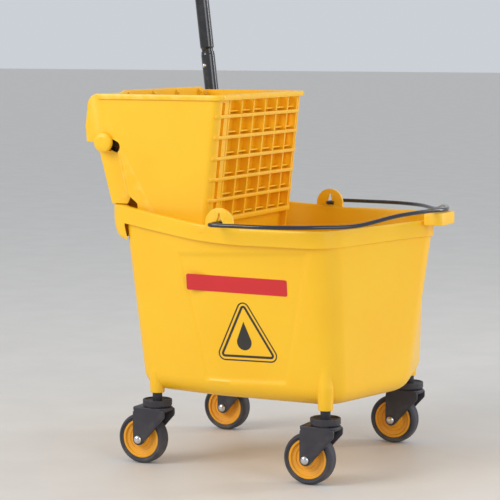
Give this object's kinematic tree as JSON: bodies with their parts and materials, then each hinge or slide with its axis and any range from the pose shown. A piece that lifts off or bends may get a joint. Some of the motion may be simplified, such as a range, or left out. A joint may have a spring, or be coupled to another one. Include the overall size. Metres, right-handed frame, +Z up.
{
  "type": "mop bucket with wringer",
  "caption": "Wheeled mop bucket with a wire bail handle and a lift-off wringer whose side lever swings a press plate against a slotted front grille.",
  "frame": {"origin": "on the floor, under the middle of the whole object's box", "axes": "+X towards the front (pouring) end, +Y towards the lever side, +Z up"},
  "size_m": [0.53, 0.473, 0.9557],
  "materials": {
    "yellow_moulding": "semi-gloss moulded polypropylene",
    "black_plastic": "fine-grained moulded nylon",
    "tyre": "smooth matt rubber",
    "wheel_hub": "moulded polypropylene",
    "chrome": "bright plating",
    "black_steel": "gloss black enamel",
    "black_wire": "gloss dip coating",
    "zinc": "zinc plating",
    "grip_rubber": "soft matt grip"
  },
  "bodies": {
    "bucket": {"bucket_body": "yellow_moulding", "caster_front_left_stem": "black_plastic", "caster_front_left_race": "black_plastic", "caster_front_right_stem": "black_plastic", "caster_front_right_race": "black_plastic", "caster_rear_left_stem": "black_plastic", "caster_rear_left_race": "black_plastic", "caster_rear_right_stem": "black_plastic", "caster_rear_right_race": "black_plastic"},
    "bail": {"bail_handle": "black_wire"},
    "wringer": {"wringer_case": "yellow_moulding", "plate_pivot_rod": "zinc"},
    "plate": {"press_plate": "yellow_moulding"},
    "lever": {"cross_shaft": "black_steel", "shaft_cap": "yellow_moulding", "crank_arm_left": "black_steel", "crank_arm_right": "black_steel", "crank_pin_left": "zinc", "crank_pin_right": "zinc", "shaft_spacer_left": "black_plastic", "shaft_spacer_right": "black_plastic", "lever_bracket": "black_steel", "lever_hub_nut": "zinc", "lever_socket": "black_steel", "lever_tube": "black_steel", "bracket_bolt_low": "zinc", "bracket_bolt_high": "zinc", "bracket_nut_low": "zinc", "bracket_nut_high": "zinc", "button_spring": "zinc", "lever_grip": "grip_rubber", "lever_end_cap": "black_plastic"},
    "button": {"snap_button": "chrome"},
    "swivel_front_left": {"caster_front_left_fork": "black_plastic", "caster_front_left_axle_bolt": "chrome", "caster_front_left_axle_nut": "chrome"},
    "wheel_front_left": {"caster_front_left_tyre": "tyre", "caster_front_left_hub": "wheel_hub"},
    "swivel_front_right": {"caster_front_right_fork": "black_plastic", "caster_front_right_axle_bolt": "chrome", "caster_front_right_axle_nut": "chrome"},
    "wheel_front_right": {"caster_front_right_tyre": "tyre", "caster_front_right_hub": "wheel_hub"},
    "swivel_rear_left": {"caster_rear_left_fork": "black_plastic", "caster_rear_left_axle_bolt": "chrome", "caster_rear_left_axle_nut": "chrome"},
    "wheel_rear_left": {"caster_rear_left_tyre": "tyre", "caster_rear_left_hub": "wheel_hub"},
    "swivel_rear_right": {"caster_rear_right_fork": "black_plastic", "caster_rear_right_axle_bolt": "chrome", "caster_rear_right_axle_nut": "chrome"},
    "wheel_rear_right": {"caster_rear_right_tyre": "tyre", "caster_rear_right_hub": "wheel_hub"}
  },
  "joints": [
    {"name": "bail_swing", "type": "hinge", "parent": "bucket", "child": "bail", "pos_m": [-0.006, 0, 0.37], "axis": [0, -1, 0], "range_deg": [0, 90]},
    {"name": "wringer_lift", "type": "slide", "parent": "bucket", "child": "wringer", "axis": [0, 0, 1], "range_m": [0, 0.15]},
    {"name": "lever_swing", "type": "hinge", "parent": "wringer", "child": "lever", "pos_m": [-0.223, 0, 0.476], "axis": [0, -1, 0], "range_deg": [0, 70]},
    {"name": "plate_swing", "type": "hinge", "parent": "wringer", "child": "plate", "pos_m": [-0.135, 0, 0.288], "axis": [0, 1, 0], "range_deg": [0, 22]},
    {"name": "button_press", "type": "slide", "parent": "lever", "child": "button", "axis": [0.2737, 0.9613, 0.0328], "range_m": [0, 0.0025], "stiffness_N_per_m": 600, "deforming": ["button_spring"]},
    {"name": "swivel_front_left_turn", "type": "hinge", "parent": "bucket", "child": "swivel_front_left", "pos_m": [0.144, 0.162, 0.09], "axis": [0, 0, 1], "continuous": true},
    {"name": "wheel_front_left_roll", "type": "hinge", "parent": "swivel_front_left", "child": "wheel_front_left", "pos_m": [0.1205, 0.162, 0.0375], "axis": [0, 1, 0], "continuous": true},
    {"name": "swivel_front_right_turn", "type": "hinge", "parent": "bucket", "child": "swivel_front_right", "pos_m": [0.144, -0.162, 0.09], "axis": [0, 0, 1], "continuous": true},
    {"name": "wheel_front_right_roll", "type": "hinge", "parent": "swivel_front_right", "child": "wheel_front_right", "pos_m": [0.1205, -0.162, 0.0375], "axis": [0, 1, 0], "continuous": true},
    {"name": "swivel_rear_left_turn", "type": "hinge", "parent": "bucket", "child": "swivel_rear_left", "pos_m": [-0.138, 0.139, 0.09], "axis": [0, 0, 1], "continuous": true},
    {"name": "wheel_rear_left_roll", "type": "hinge", "parent": "swivel_rear_left", "child": "wheel_rear_left", "pos_m": [-0.1615, 0.139, 0.0375], "axis": [0, 1, 0], "continuous": true},
    {"name": "swivel_rear_right_turn", "type": "hinge", "parent": "bucket", "child": "swivel_rear_right", "pos_m": [-0.138, -0.139, 0.09], "axis": [0, 0, 1], "continuous": true},
    {"name": "wheel_rear_right_roll", "type": "hinge", "parent": "swivel_rear_right", "child": "wheel_rear_right", "pos_m": [-0.1615, -0.139, 0.0375], "axis": [0, 1, 0], "continuous": true}
  ],
  "couplings": [
    {"joint": "plate_swing", "follows": "lever_swing", "ratio": 0.31429}
  ]
}
